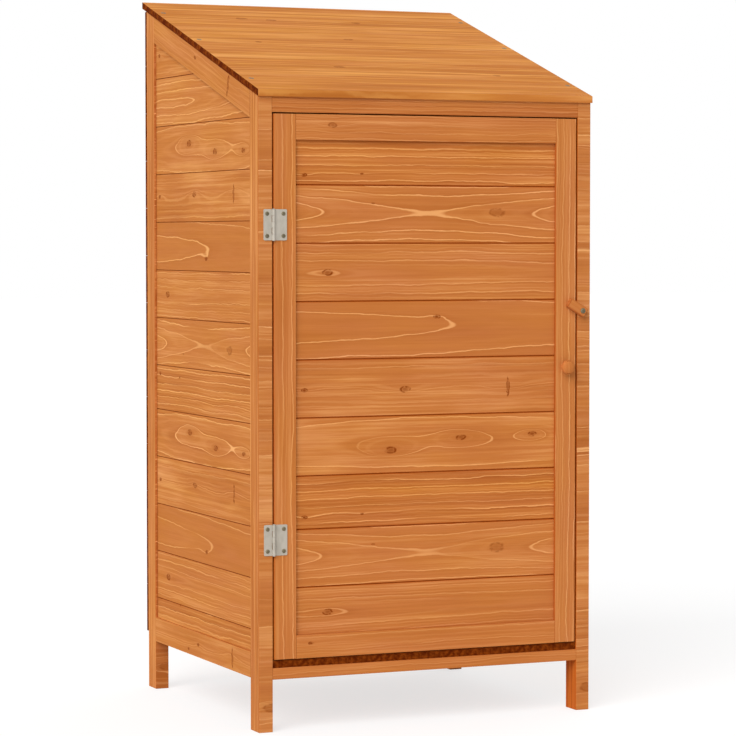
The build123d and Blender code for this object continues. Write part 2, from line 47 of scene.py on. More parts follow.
class Wire:
    # a node's output that can be used in sums: each sum adds a Math node
    def __init__(self, graph, socket):
        self.graph = graph
        self.socket = socket

    def sum(self, operation, first, second=0.0, third=0.0):
        return self.graph.add("ShaderNodeMath", {"operation": operation}, {0: first, 1: second, 2: third})

    def __add__(self, other):
        return self.sum("ADD", self, other)

    def __radd__(self, other):
        return self.sum("ADD", other, self)

    def __sub__(self, other):
        return self.sum("SUBTRACT", self, other)

    def __rsub__(self, other):
        return self.sum("SUBTRACT", other, self)

    def __mul__(self, other):
        return self.sum("MULTIPLY", self, other)

    def __rmul__(self, other):
        return self.sum("MULTIPLY", other, self)

    def __truediv__(self, other):
        return self.sum("DIVIDE", self, other)

    def __rtruediv__(self, other):
        return self.sum("DIVIDE", other, self)

    def __pow__(self, other):
        return self.sum("POWER", self, other)

    def __lt__(self, other):
        return self.sum("LESS_THAN", self, other)

    def __gt__(self, other):
        return self.sum("GREATER_THAN", self, other)

    def least(self, other):
        return self.sum("MINIMUM", self, other)

    def most(self, other):
        return self.sum("MAXIMUM", self, other)

    def fraction(self):
        return self.sum("FRACT", self)

    def whole(self):
        return self.sum("FLOOR", self)

    def size(self):
        return self.sum("ABSOLUTE", self)

    def root(self):
        return self.sum("SQRT", self)

    def decay(self):
        return self.sum("EXPONENT", self * -1.0)

    def ease(self, low, high):
        # 0 below low, 1 above high, smooth between; the other way round if low is above high
        span = {"Value": self, "From Min": low, "From Max": high}
        return self.graph.add("ShaderNodeMapRange", {"interpolation_type": "SMOOTHSTEP"}, span)


class Graph:
    # a node tree being built: settings are set first, then the values and links of the sockets
    def __init__(self, tree):
        self.tree = tree

    def add(self, kind, settings=None, sockets=None, out=0):
        node = self.tree.nodes.new(kind)
        for name, value in (settings or {}).items():
            setattr(node, name, value)
        for key, value in (sockets or {}).items():
            wires = value if isinstance(value, list) else [value]
            if isinstance(wires[0], Wire):
                for wire in wires:
                    self.tree.links.new(wire.socket, node.inputs[key])
            else:
                node.inputs[key].default_value = value
        return Wire(self, node.outputs[out]) if node.outputs else node

    def vector(self, x, y, z):
        return self.add("ShaderNodeCombineXYZ", None, {0: x, 1: y, 2: z})

    def parts(self, vector):
        first = self.add("ShaderNodeSeparateXYZ", None, {0: vector})
        return [Wire(self, socket) for socket in first.socket.node.outputs]

    def vectors(self, operation, first, second, out="Vector"):
        return self.add("ShaderNodeVectorMath", {"operation": operation}, {0: first, 1: second}, out)

    def dot(self, first, second):
        return self.vectors("DOT_PRODUCT", first, second, "Value")

    def mix(self, factor, first, second):
        return self.add("ShaderNodeMix", {"data_type": "RGBA"}, {0: factor, 6: first, 7: second}, 2)

    def noise(self, vector, detail=2.0):
        return self.add("ShaderNodeTexNoise", None, {"Vector": vector, "Scale": 1.0, "Detail": detail}, "Fac")

    def chance(self, seed):
        # a random number from 0 to 1 for each seed
        return self.add("ShaderNodeTexWhiteNoise", {"noise_dimensions": "1D"}, {"W": seed}, "Value")

    def own(self, name):
        # an attribute that the piece's own mesh carries
        return self.add("ShaderNodeAttribute", {"attribute_name": name}, None, "Vector")


def newMaterial(name):
    material = bpy.data.materials.new(name)
    material.use_nodes = True
    material.node_tree.nodes.clear()
    return material, Graph(material.node_tree)


def closeMaterial(graph, surface):
    graph.add("ShaderNodeOutputMaterial", None, {"Surface": surface})


# stained fir: growth rings cut by the board's face, each a pale line before a darker band
firLook = {
    "body": (0.566, 0.188, 0.0475, 1.0),
    "pale": (0.860, 0.400, 0.145, 1.0),
    "deep": (0.420, 0.114, 0.024, 1.0),
    "knot": (0.250, 0.047, 0.004, 1.0),
    "endGrain": (0.105, 0.014, 0.001, 1.0),
    "endPale": (0.250, 0.050, 0.004, 1.0),
    "groove": (0.390, 0.064, 0.002, 1.0),
    "wander": 0.014, "ripple": 0.006, "jag": 0.0026, "sink": 0.004,  # how far rings stray, across and down
    "roughness": 0.58, "gloss": 0.015, "relief": 0.35, "reliefDepth": 0.0006,
}
# how each sort of board lies in the log
plainCut = {
    "heart": (0.160, 0.030, 0.02),  # the log's heart: across the board, under its face, deeper along it
    "bow": (0.0, 0.0),  # where along the board the heart is deepest, and how fast it comes back up
    "gap": 0.020, "uneven": 1.0, "lineWidth": 0.0023,  # from ring to ring, and each ring's pale line
    "lines": 0.3, "fine": 0.15, "bands": 0.25,  # strength of pale lines, finer lines and dark bands
    "streaks": 0.6, "streakPitch": 0.006, "patches": 0.45, "tone": 0.06,  # soft shades, and darker all over
    "tint": (1.0, 1.0),  # more or less green and blue
    "golden": (0.0, 0.01, 0.0),  # a golden streak: across the board, half its width, strength
    "knots": (),  # along in lengths, across, radius; a negative radius stands upright
    "knotDark": 1.0, "knotFill": 0.25, "swell": 0.5,  # a knot's rim, its middle, and its push on the rings
}
figures = {
    "rail": plainCut,
    # the front rail's darker tone and strong streaks are partly its own grain and partly painted shade from
    # the roof's edge above it
    "frontRail": dict(plainCut, heart=(0.060, 0.020, 0.0), gap=0.0070, bands=0.9, streaks=1.7,
                      streakPitch=0.005, tone=0.42),
    "topRail": dict(plainCut, gap=0.0110, lines=0.4, streaks=1.1, patches=0.8, tone=0.18,
                    knots=((-0.352, 0.004, 0.0038),), knotDark=0.65, swell=0.2),
    "bottomRail": dict(plainCut, lines=0.5, tone=0.12, knots=((-0.430, 0.004, 0.0024),), swell=0.2),
    "straight": dict(plainCut, heart=(0.130, 0.020, 0.02), gap=0.0120, lines=0.9, bands=0.9, streaks=1.2,
                     patches=0.6, tone=0.25, tint=(0.98, 0.92), golden=(0.0125, 0.0105, 0.38),
                     knots=((-0.450, -0.022, 0.0027), (-0.240, -0.020, 0.0015)), swell=0.2),
    "spindle": dict(plainCut, heart=(0.002, 0.0221, 0.0), bow=(0.006, 0.33), gap=0.0105, uneven=0.25,
                    lines=1.0, fine=0.08, bands=0.5, tone=0.04, knotDark=0.55, knotFill=0.5, swell=0.12,
                    knots=((0.264, 0.004, 0.0066), (-0.20, 0.017, 0.0016))),
    "eye": dict(plainCut, heart=(0.0, 0.0130, 0.01), gap=0.0100, uneven=0.6, lines=0.6, bands=0.4,
                streaks=0.8, tone=0.07, knots=((-0.366, 0.0, 0.0044),), swell=0.12),
    "finger": dict(plainCut, heart=(0.006, 0.0244, 0.0439), gap=0.0200, uneven=0.15, lines=1.0, fine=0.04,
                   bands=0.35, streaks=0.4, patches=0.3, tone=0.20, swell=0.12,
                   knots=((0.036, 0.019, 0.0030),)),
    "plain": dict(plainCut, heart=(0.300, 0.030, 0.0), gap=0.0260, lines=0.45, fine=0.2, streaks=1.0,
                  patches=1.1, tone=0.13, swell=0.2,
                  knots=((-0.450, -0.002, 0.0028), (-0.083, -0.004, 0.0044), (0.306, -0.004, -0.0055))),
    "lens": dict(plainCut, heart=(0.001, 0.0214, 0.0), bow=(0.008, -0.15), gap=0.0180, uneven=0.2,
                 lines=1.0, bands=0.5, patches=0.7, tone=-0.10, tint=(1.0, 0.94),
                 knots=((-0.135, -0.008, 0.0048), (0.128, 0.008, 0.0044), (0.400, 0.010, 0.0036))),
    "swirl": dict(plainCut, heart=(0.004, 0.0130, 0.0600), gap=0.0130, uneven=0.5, lines=0.9, bands=0.3,
                  tone=-0.08),
    "hingeStile": dict(plainCut, heart=(-0.030, 0.030, 0.004), gap=0.0130, lines=0.8, bands=0.2,
                       streaks=0.8, tone=0.10),
    "latchStile": dict(plainCut, heart=(-0.040, 0.030, -0.004), gap=0.0105, lines=0.7, bands=0.3,
                       tone=0.04, tint=(1.03, 1.08)),
    # the posts' warmer tint on their sides is painted light, as on the side boards
    "post": dict(plainCut, heart=(-0.100, 0.040, 0.002), gap=0.0120, lines=0.7, bands=0.6, streaks=1.6,
                 patches=0.9, tone=0.12, tint=(1.03, 1.0)),
    "postFront": dict(plainCut, heart=(-1.300, 0.040, 0.0), gap=0.0560, uneven=4.0, lineWidth=0.0034,
                      lines=1.0, fine=0.2, bands=0.6, streaks=0.9, streakPitch=0.014, patches=1.1,
                      tint=(1.05, 1.10), knots=((0.34, 0.036, 0.0062),), knotDark=0.6, knotFill=0.6),
    # the roof's warmer, less blue tint is painted light: it stands in for the warm light on its upward face
    # and offsets its sheen
    "roof": dict(plainCut, heart=(0.400, 0.030, 0.004), gap=0.0300, uneven=2.0, lineWidth=0.0050,
                 lines=0.65, fine=0.35, bands=0.6, streaks=1.2, streakPitch=0.030, patches=0.5, tone=-0.05,
                 tint=(1.04, 0.765), knotDark=0.7, knotFill=0.6, swell=0.1),
    "small": dict(plainCut, heart=(0.300, 0.030, 0.0), lines=0.2, fine=0.1, bands=0.0, streaks=0.4,
                  patches=0.2, tone=0.20),
    # the side rails' warmer tints, here and below, are painted light, as on the side boards
    "sideTop": dict(plainCut, knots=((0.05, 0.004, 0.0026), (-0.27, 0.002, -0.0070)), swell=0.2,
                    tint=(1.06, 1.02)),
}
figures["sideRail"] = dict(figures["plain"], lines=0.35, streaks=0.8, patches=0.8, tone=-0.04,
                           tint=(1.07, 1.02),
                           knots=((0.03, 0.0, 0.0028), (0.13, 0.011, 0.0022), (-0.31, 0.0, -0.0060)))
figures["roofFront"] = dict(figures["roof"], lines=0.12, bands=0.12, fine=0.3, tone=0.0)
for sort, knots in (("Marked", ((-0.25, 0.036, 0.0052), (-0.16, 0.032, 0.0046), (0.11, 0.030, 0.0040))),
                    ("Spot", ((-0.16, 0.020, 0.0048), (0.30, -0.012, 0.0036))),
                    ("Fleck", ((0.0, 0.009, 0.0044), (-0.30, -0.024, 0.0034)))):
    figures["roof" + sort] = dict(figures["roof"], knots=knots)
# the sides' faces lie on the other side of their boards, so their hearts lie deeper
sideDeeper = 0.008
for sort in ("finger", "spindle", "lens"):
    across, depth, rise = figures[sort]["heart"]
    figures["side" + sort.title()] = dict(figures[sort], heart=(across, depth + sideDeeper, rise))
knotMarks = ("knotA", "knotB", "knotC")
smallestKnot = 0.0002


def firKnots(g, u, v, seed, ripple, jag, knotFill, swelling):
    # knots with broken dark rims, and how far they push the rings aside
    broken = g.noise(g.vector(u * 140.0 + seed, v * 200.0, seed * 4.0), 1.0).ease(0.30, 0.58)
    knot, swell = 0.0, 0.0
    for mark in knotMarks:
        along, across, radius = g.parts(g.own(mark))
        upright = radius < 0.0
        size = radius.size().most(smallestKnot)
        present = radius.size() > smallestKnot
        du = (u - along) / size + (jag - 0.5) * 1.4
        dv = (v - across) / size + (ripple - 0.5) * 1.4
        away = ((du * (0.55 + upright * 1.6)) ** 2.0 + (dv * (1.0 - upright * 0.6)) ** 2.0).root()
        rim = (away - 0.85).size().ease(0.42, 0.05) * broken
        core = away.ease(0.9, 0.25) * (size.ease(0.0046, 0.0026) * 0.35 + 0.6)
        inside = away.ease(1.15, 0.75) * knotFill
        knot = (core.most(rim).most(inside) * present).most(knot)
        push = (du * du / 60.0 + dv * dv / 7.0).decay() * present * (size * 350.0).least(1.8)
        swell = push * swelling + swell
    return knot, swell


def firMaterial(name, look):
    # u runs along the board, v across it and w through it; the noises' scales are per metre
    material, g = newMaterial(name)
    place = g.add("ShaderNodeTexCoord", None, None, "Object")
    normal = g.add("ShaderNodeTexCoord", None, None, "Normal")
    local = g.vectors("SUBTRACT", place, g.own("place"))
    lengthwise, crosswise = g.own("lengthwise"), g.own("crosswise")
    through = g.vectors("CROSS_PRODUCT", lengthwise, crosswise)
    u, v, w = g.dot(local, lengthwise), g.dot(local, crosswise), g.dot(local, through)
    seed, lines, streaks = g.parts(g.own("grain"))
    tone, green, blue = g.parts(g.own("tone"))
    groove = g.parts(g.own("groove"))[0]
    goldenAcross, goldenWidth, goldenStrength = g.parts(g.own("golden"))
    heartAcross, heartDepth, heartRise = g.parts(g.own("heart"))
    bowPlace, bowAmount, streakPitch = g.parts(g.own("bow"))
    gap, unevenness, lineWidth = g.parts(g.own("rings"))
    fineness, bands, patches = g.parts(g.own("marks"))
    knotDark, knotFill, swelling = g.parts(g.own("knots"))
    wave = g.noise(g.vector(u * 3.5 + seed * 3.1, v * 9.0, seed * 5.3), 2.0)
    ripple = g.noise(g.vector(u * 18.0 + seed, v * 45.0, seed * 2.1), 2.0)
    jag = g.noise(g.vector(u * 60.0 + seed, v * 120.0, seed), 2.0)
    knot, swell = firKnots(g, u, v, seed, ripple, jag, knotFill, swelling)

    # a golden streak along some boards
    flicker = g.noise(g.vector(u * 7.0 + seed, v * 160.0 + (wave - 0.5) * 6.0, seed), 2.0)
    fromGolden = (v - goldenAcross + (wave - 0.5) * 0.02) / goldenWidth
    golden = (fromGolden * fromGolden).decay() * goldenStrength

    # rings round the tree's heart, which lies at a changing depth under the face
    slow = g.noise(g.vector(u * 2.0 + seed * 3.1, seed * 1.7, 0.3), 1.0)
    offset = v - heartAcross + (wave - 0.5) * look["wander"]
    offset = offset + (ripple - 0.5) * look["ripple"] + (jag - 0.5) * look["jag"]
    fromBow = u - bowPlace
    depth = heartDepth + heartRise * u - fromBow * fromBow * bowAmount + (slow - 0.5) * look["sink"] + w
    radius = (offset * offset + depth * depth).root()
    uneven = g.noise(g.vector(radius * 34.0 + seed * 7.7, 0.5, 0.5), 1.0)
    rings = radius / gap - 0.5 + (uneven - 0.5) * unevenness - swell
    nearest = (rings + 0.5).whole()
    chance = g.chance(nearest * 0.731 + seed * 3.3)
    fade = g.noise(g.vector(u * 6.0 + seed * 2.0, nearest * 1.9, seed), 1.0)
    strength = lines * (chance * 0.45 + 0.55) * fade.ease(0.26, 0.48)
    # the line keeps its width where a ring is cut at a slant
    rise = heartRise - fromBow * bowAmount * 2.0
    slant = ((offset * offset + depth * depth * rise * rise).root() / radius).most(0.35)
    line = ((rings - nearest).size() * gap / slant / lineWidth * 2.0).ease(1.0, 0.2) * strength
    past = rings.fraction()
    band = (1.0 - past * 2.0).most(0.0) ** 2.0 * (chance * 0.6 + 0.4) * bands
    ringTone = (g.chance(rings.whole() * 1.37 + seed) - 0.5) * bands * 0.4
    fineStep = (rings * 2.7 + 0.31).fraction()
    fine = (fineStep - 0.5).size().ease(0.26, 0.05) * fade.ease(0.7, 0.4)
    fine = fine * (fineness + golden * 0.5) * (1.0 - swell).most(0.0)

    # slow patches, long streaks and short fibres
    cloud = g.noise(g.vector(u * 5.0 + seed * 4.0, v * 15.0 + seed, 0.7), 2.0)
    streak = g.noise(g.vector(u * 2.0 + seed, v / streakPitch, w / streakPitch + seed), 3.0)
    hair = g.noise(g.vector(u * 5.0 + seed, v * 3.7 / streakPitch, w * 3.7 / streakPitch), 2.0)
    fibre = g.noise(g.vector(u * 26.0 + seed, v * 900.0, w * 900.0 + seed), 2.0)
    shade = tone - golden * flicker.ease(0.2, 0.7) + band * (1.0 - golden).most(0.2) + ringTone
    shade = shade + (cloud - 0.5) * patches * 1.6 + (streak - 0.5) * streaks * 1.5
    shade = shade + (hair - 0.5) * streaks * 1.1 + (fibre - 0.5) * 0.40
    colour = g.mix(shade.most(0.0).least(1.0), look["body"], look["deep"])
    colour = g.mix((shade * -1.0).most(0.0).least(0.8), colour, look["pale"])
    colour = g.mix(line.most(fine).least(1.0), colour, look["pale"])
    colour = g.mix((swell * 0.35).least(0.4), colour, look["deep"])
    colour = g.mix(knot * knotDark, colour, look["knot"])
    hue = g.noise(g.vector(u * 6.0 + seed * 2.0, v * 34.0, seed), 2.0) - 0.5
    tint = g.vector(1.0, green + hue * 0.06, blue - hue * 0.45 - golden * 0.30)
    colour = g.vectors("MULTIPLY", colour, tint)
    # stain gathers on the long edges, and the ends soak it up
    colour = g.mix(g.dot(normal, crosswise).size().ease(0.15, 0.4) * groove, colour, look["groove"])
    ends = g.dot(normal, lengthwise).size().ease(0.6, 0.85)
    mottle = g.noise(g.vector(v * 170.0 + seed, w * 170.0, u * 20.0), 2.0).ease(0.35, 0.75)
    endColour = g.mix(mottle.most(line * 0.5), look["endGrain"], look["endPale"])
    colour = g.mix(ends, colour, endColour)

    height = line * 0.5 + fibre * 0.35 - knot * 0.4
    bump = {"Height": height, "Strength": look["relief"], "Distance": look["reliefDepth"]}
    surface = g.add("ShaderNodeBsdfPrincipled", None, {
        "Base Color": colour,
        "Roughness": look["roughness"] + (fibre - 0.5) * 0.2 + ends * 0.2,
        "Normal": g.add("ShaderNodeBump", None, bump),
        "Specular IOR Level": look["gloss"],
    })
    closeMaterial(g, surface)
    return material


zincLook = {"colour": (0.500, 0.455, 0.385, 1.0), "dull": (0.400, 0.365, 0.300, 1.0), "metal": 0.15,
            "roughness": 0.60}
screwLook = {"colour": (0.205, 0.170, 0.098, 1.0), "dull": (0.125, 0.102, 0.056, 1.0), "metal": 0.10,
             "roughness": 0.55}


def metalMaterial(name, look):
    material, g = newMaterial(name)
    x, y, z = g.parts(g.add("ShaderNodeTexCoord", None, None, "Object"))
    brushed = g.noise(g.vector(x * 2500.0, y * 2500.0, z * 120.0), 2.0)
    stain = g.noise(g.vector(x * 60.0, y * 60.0, z * 45.0), 2.0)
    worn = (stain * 0.7 + brushed * 0.3).ease(0.38, 0.72)
    surface = g.add("ShaderNodeBsdfPrincipled", None, {
        "Base Color": g.mix(worn, look["colour"], look["dull"]),
        "Metallic": look["metal"],
        "Roughness": look["roughness"] + (brushed - 0.5) * 0.25,
        "Normal": g.add("ShaderNodeBump", None, {"Height": brushed, "Strength": 0.12, "Distance": 0.0002}),
    })
    closeMaterial(g, surface)
    return material


dowelLook = {"colour": (0.62, 0.43, 0.25, 1.0), "dark": (0.45, 0.28, 0.13, 1.0), "roughness": 0.7}


def bareMaterial(name, look):
    material, g = newMaterial(name)
    x, y, z = g.parts(g.add("ShaderNodeTexCoord", None, None, "Object"))
    fibre = g.noise(g.vector(x * 60.0, y * 1400.0, z * 1400.0), 2.0)
    surface = g.add("ShaderNodeBsdfPrincipled", None, {
        "Base Color": g.mix(fibre.ease(0.35, 0.70), look["colour"], look["dark"]),
        "Roughness": look["roughness"] + (fibre - 0.5) * 0.2,
        "Normal": g.add("ShaderNodeBump", None, {"Height": fibre, "Strength": 0.2, "Distance": 0.0003}),
    })
    closeMaterial(g, surface)
    return material


fir = firMaterial("stainedFir", firLook)
dowelWood = bareMaterial("dowelWood", dowelLook)
zinc = metalMaterial("zincPlate", zincLook)
screwSteel = metalMaterial("screwSteel", screwLook)
print("materials made")


def newTree(name, inputs):
    # a geometry tree whose named inputs are (kind, start value)
    tree = bpy.data.node_groups.new(name, "GeometryNodeTree")
    tree.interface.new_socket("Geometry", in_out="OUTPUT", socket_type="NodeSocketGeometry")
    for label, (kind, start) in inputs.items():
        socket = tree.interface.new_socket(label, in_out="INPUT", socket_type="NodeSocket" + kind)
        if start is not None:
            socket.default_value = start
    graph = Graph(tree)
    source = tree.nodes.new("NodeGroupInput")
    return tree, graph, {label: Wire(graph, source.outputs[label]) for label in inputs}


def runTree(tree, values, points=None):
    # evaluates a tree on a bare mesh and gives back the plain result
    holder = bpy.data.objects.new("holder", bpy.data.meshes.new("holder"))
    holder.data.from_pydata(points or [(0, 0, 0)], [], [])
    bpy.context.scene.collection.objects.link(holder)
    rule = holder.modifiers.new("rule", "NODES")
    rule.node_group = tree
    for item in tree.interface.items_tree:
        if item.in_out == "INPUT" and item.name in values:
            rule[item.identifier] = values[item.name]
    view = bpy.context.evaluated_depsgraph_get()
    result = holder.evaluated_get(view)
    mesh = bpy.data.meshes.new_from_object(result, preserve_all_data_layers=True, depsgraph=view)
    holder.modifiers.remove(rule)
    bpy.data.objects.remove(holder)
    return mesh


def boardRunTree():
    # boards side by side: X runs along them, Y over the run from 0, Z from the back to the face
    tree, g, size = newTree("boardRun", {
        "Count": ("Int", 8), "Length": ("Float", 0.4), "Thickness": ("Float", 0.008), "Total": ("Float", 0.6),
        "First": ("Float", 0.07), "Pitch": ("Float", 0.08), "Narrow": ("Float", 0.08),
        "Narrow Place": ("Int", 0), "Gap": ("Float", 0.0004), "Tongue": ("Float", 0.004),
        "Tongue Thickness": ("Float", 0.0026), "Tongue Inset": ("Float", 0.002),
        "Cut Height": ("Float", 100.0), "Cut Slope": ("Float", 1.0), "Plumb": ("Float", 0.0),
        "Material": ("Material", None),
    })
    line = g.add("GeometryNodeMeshLine", None, {"Count": size["Count"], "Offset": (0, 0, 0)})
    index = g.add("GeometryNodeInputIndex")

    def lowEdge(i):
        shrink = (i > size["Narrow Place"]) * (size["Pitch"] - size["Narrow"])
        return (i > 0.5) * (size["First"] + (i - 1.0) * size["Pitch"] - shrink)

    isLast = index > (size["Count"] - 1.5)
    low = lowEdge(index)
    high = isLast * size["Total"] + (1.0 - isLast) * lowEdge(index + 1.0)
    middle = g.vector(0.0, (low + high) * 0.5, size["Thickness"] * 0.5)

    # each board's own number, middle and edges stay on its points
    carried = line
    for name, kind, value in (("boardId", "FLOAT", index), ("boardMiddle", "FLOAT_VECTOR", middle),
                              ("boardLow", "FLOAT", low), ("boardHigh", "FLOAT", high)):
        carried = g.add("GeometryNodeStoreNamedAttribute", {"data_type": kind, "domain": "POINT"},
                        {"Geometry": carried, "Name": name, "Value": value})
    middles = g.add("GeometryNodeSetPosition", None, {"Geometry": carried, "Position": middle})

    block = g.add("GeometryNodeMeshCube", None,
                  {"Size": (1, 1, 1), "Vertices X": 2, "Vertices Y": 3, "Vertices Z": 2})
    x, y, z = g.parts(g.add("GeometryNodeInputPosition"))
    block = g.add("GeometryNodeStoreNamedAttribute", {"data_type": "FLOAT", "domain": "POINT"},
                  {"Geometry": block, "Name": "boardRow", "Value": y})
    boardScale = g.vector(size["Length"], high - low - size["Gap"], size["Thickness"])
    boards = g.add("GeometryNodeInstanceOnPoints", None,
                   {"Points": middles, "Instance": block, "Scale": boardScale})
    boards = g.add("GeometryNodeRealizeInstances", None, {"Geometry": boards})

    def carriedValue(name):
        return g.add("GeometryNodeInputNamedAttribute", {"data_type": "FLOAT"}, {"Name": name}, "Attribute")

    # the middle row goes to where the sloping cut crosses the board's lower end, if well inside the board
    row = carriedValue("boardRow")
    well = 0.001
    cross = size["Cut Height"] - size["Length"] * 0.5 * size["Cut Slope"]
    aboveLow = cross > (carriedValue("boardLow") + well)
    belowHigh = cross < (carriedValue("boardHigh") - well)
    yCut = y + (cross - y) * aboveLow * belowHigh * (row.size() < 0.25)
    xLine = ((yCut - size["Cut Height"]) / size["Cut Slope"]).least(size["Length"] * 0.5)
    xCut = x.most(xLine)
    # the outer edges of the run are cut upright, like the ends of a roof's slope
    number = carriedValue("boardId")
    outer = (number < 0.5) * (row < -0.25) + (number > (size["Count"] - 1.5)) * (row > 0.25)
    yCut = yCut + outer * (z - size["Thickness"]) * size["Plumb"]
    boards = g.add("GeometryNodeSetPosition", None, {"Geometry": boards, "Position": g.vector(xCut, yCut, z)})
    boards = g.add("GeometryNodeMergeByDistance", None, {"Geometry": boards, "Distance": 0.00002})

    # tongues that close the seams
    tonguePlace = g.vector(0.0, high, size["Thickness"] * 0.5)
    tonguePoints = g.add("GeometryNodeSetPosition", None, {"Geometry": carried, "Position": tonguePlace})
    plain = g.add("GeometryNodeMeshCube", None, {"Size": (1, 1, 1)})
    cutBack = ((high - size["Cut Height"]) / size["Cut Slope"] + size["Length"] * 0.5).most(0.0)
    tongueLength = size["Length"] - size["Tongue Inset"] * 2.0 - cutBack * 2.0
    tongueScale = g.vector(tongueLength, size["Tongue"] * 2.0, size["Tongue Thickness"])
    keep = (1.0 - isLast) * (size["Tongue"] > 0.0001)
    tongues = g.add("GeometryNodeInstanceOnPoints", None,
                    {"Points": tonguePoints, "Selection": keep, "Instance": plain, "Scale": tongueScale})
    joined = g.add("GeometryNodeJoinGeometry", None, {0: [boards, tongues]})
    whole = g.add("GeometryNodeRealizeInstances", None, {"Geometry": joined})
    done = g.add("GeometryNodeSetMaterial", None, {"Geometry": whole, "Material": size["Material"]})
    g.add("NodeGroupOutput", None, {"Geometry": done})
    return tree


def fastenerTree():
    # one screw on each point: a low dome with a cross recess, and its shank
    tree, g, size = newTree("fasteners", {
        "Points": ("Geometry", None), "Radius": ("Float", 0.003), "Height": ("Float", 0.001),
        "Recess": ("Float", 0.0008), "Recess Depth": ("Float", 0.0006),
        "Shank": ("Float", 0.0015), "Shank Length": ("Float", 0.01), "Turn": ("Vector", (0, 0, 0)),
        "Material": ("Material", None),
    })
    ball = g.add("GeometryNodeMeshUVSphere", None, {"Segments": 28, "Rings": 14, "Radius": 1.0})
    domeScale = g.vector(size["Radius"], size["Radius"], size["Height"])
    dome = g.add("GeometryNodeTransform", None, {"Geometry": ball, "Scale": domeScale})

    def bar(x, y, low, high):
        box = g.add("GeometryNodeMeshCube", None, {"Size": g.vector(x, y, high - low)})
        return g.add("GeometryNodeTransform", None,
                     {"Geometry": box, "Translation": g.vector(0.0, 0.0, (high + low) * 0.5)})

    across = size["Radius"] * 1.2
    floor = size["Height"] - size["Recess Depth"]
    top = size["Height"] * 2.0
    wide = size["Radius"] * 4.0
    cuts = [bar(across, size["Recess"], floor, top), bar(size["Recess"], across, floor, top),
            bar(wide, wide, size["Height"] * -3.0, 0.0)]
    head = g.add("GeometryNodeMeshBoolean", {"operation": "DIFFERENCE", "solver": "EXACT"},
                 {"Mesh 1": dome, "Mesh 2": cuts, "Self Intersection": True})
    shank = g.add("GeometryNodeMeshCylinder", None,
                  {"Vertices": 12, "Radius": size["Shank"], "Depth": size["Shank Length"]})
    apart = 0.00001  # head and shank don't share a face
    shankPlace = g.vector(0.0, 0.0, size["Shank Length"] * -0.5 - apart)
    shank = g.add("GeometryNodeTransform", None, {"Geometry": shank, "Translation": shankPlace})
    whole = g.add("GeometryNodeJoinGeometry", None, {0: [head, shank]})
    # each one is turned a little differently about its own axis
    spin = g.add("FunctionNodeRandomValue", {"data_type": "FLOAT"}, {"Max": 1.5, "Seed": 4}, 1)
    facing = g.add("FunctionNodeEulerToRotation", None, {0: size["Turn"]})
    own = g.add("FunctionNodeAxisAngleToRotation", None, {"Axis": (0, 0, 1), "Angle": spin})
    turn = g.add("FunctionNodeRotateRotation", {"rotation_space": "LOCAL"}, {0: facing, 1: own})
    placed = g.add("GeometryNodeInstanceOnPoints", None,
                   {"Points": size["Points"], "Instance": whole, "Rotation": turn})
    real = g.add("GeometryNodeRealizeInstances", None, {"Geometry": placed})
    done = g.add("GeometryNodeSetMaterial", None, {"Geometry": real, "Material": size["Material"]})
    g.add("NodeGroupOutput", None, {"Geometry": done})
    return tree


boardRun = boardRunTree()
fasteners = fastenerTree()
print("trees made")


def bevelled(mesh, width, segments=2, shortest=0.004, sharpest=40):
    # eases the long sharp edges of a mesh
    shape = bmesh.new()
    shape.from_mesh(mesh)
    closed = [e for e in shape.edges if len(e.link_faces) == 2]
    sharp = [e for e in closed if e.calc_face_angle() > math.radians(sharpest) and e.calc_length() > shortest]
    bmesh.ops.bevel(shape, geom=sharp, offset=width, segments=segments, profile=0.5, affect="EDGES",
                    clamp_overlap=True)
    shape.to_mesh(mesh)
    shape.free()
    return mesh


def cadCopy(node):
    # a merged copy of a node's loose triangles, with its flat faces whole again
    mesh = bpy.data.meshes.new(node)
    shape = bmesh.new()
    shape.from_mesh(nodes[node].data)
    bmesh.ops.remove_doubles(shape, verts=shape.verts, dist=0.00001)
    bmesh.ops.dissolve_limit(shape, angle_limit=math.radians(0.6), verts=shape.verts, edges=shape.edges)
    shape.to_mesh(mesh)
    shape.free()
    return mesh


def cut(figure, seed, place, along, across, length, groove, darker=0.0, tint=None):
    # one board's own values for the fir
    look = figures[figure]
    knots = [(k[0] * length, k[1], k[2]) for k in look["knots"]] + [(0.0, 0.0, 0.0)] * len(knotMarks)
    own = {
        "place": tuple(place), "lengthwise": tuple(along), "crosswise": tuple(across),
        "grain": (seed, look["lines"], look["streaks"]), "heart": look["heart"], "golden": look["golden"],
        "tone": (look["tone"] + darker, *(tint or look["tint"])), "groove": (groove, 0, 0),
        "bow": (*look["bow"], look["streakPitch"]),
        "rings": (look["gap"], look["uneven"], look["lineWidth"]),
        "marks": (look["fine"], look["bands"], look["patches"]),
        "knots": (look["knotDark"], look["knotFill"], look["swell"]),
    }
    own.update(zip(knotMarks, knots))
    return own


def woodFaces(mesh, cuts):
    # writes a cut for each face
    for name in cuts[0]:
        made = mesh.attributes.new(name, "FLOAT_VECTOR", "FACE")
        made.data.foreach_set("vector", [number for one in cuts for number in one[name]])


def oneMaterial(mesh, material):
    # the whole mesh in one finish
    mesh.materials.clear()
    mesh.materials.append(material)
    mesh.polygons.foreach_set("material_index", [0] * len(mesh.polygons))


def pieceName(node):
    first, *rest = node.split("_")
    return first + "".join(word.title() for word in rest)


def finishPiece(name, mesh, body, replaced, smooth=35):
    mesh.name = name
    if not mesh.materials[0]:  # a tree leaves its first slot empty
        oneMaterial(mesh, mesh.materials[-1])
    mesh.shade_smooth()
    mesh.set_sharp_from_angle(angle=math.radians(smooth))
    piece = bpy.data.objects.new(name, mesh)
    bpy.context.scene.collection.objects.link(piece)
    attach(piece, body)
    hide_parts(*replaced)
    return piece


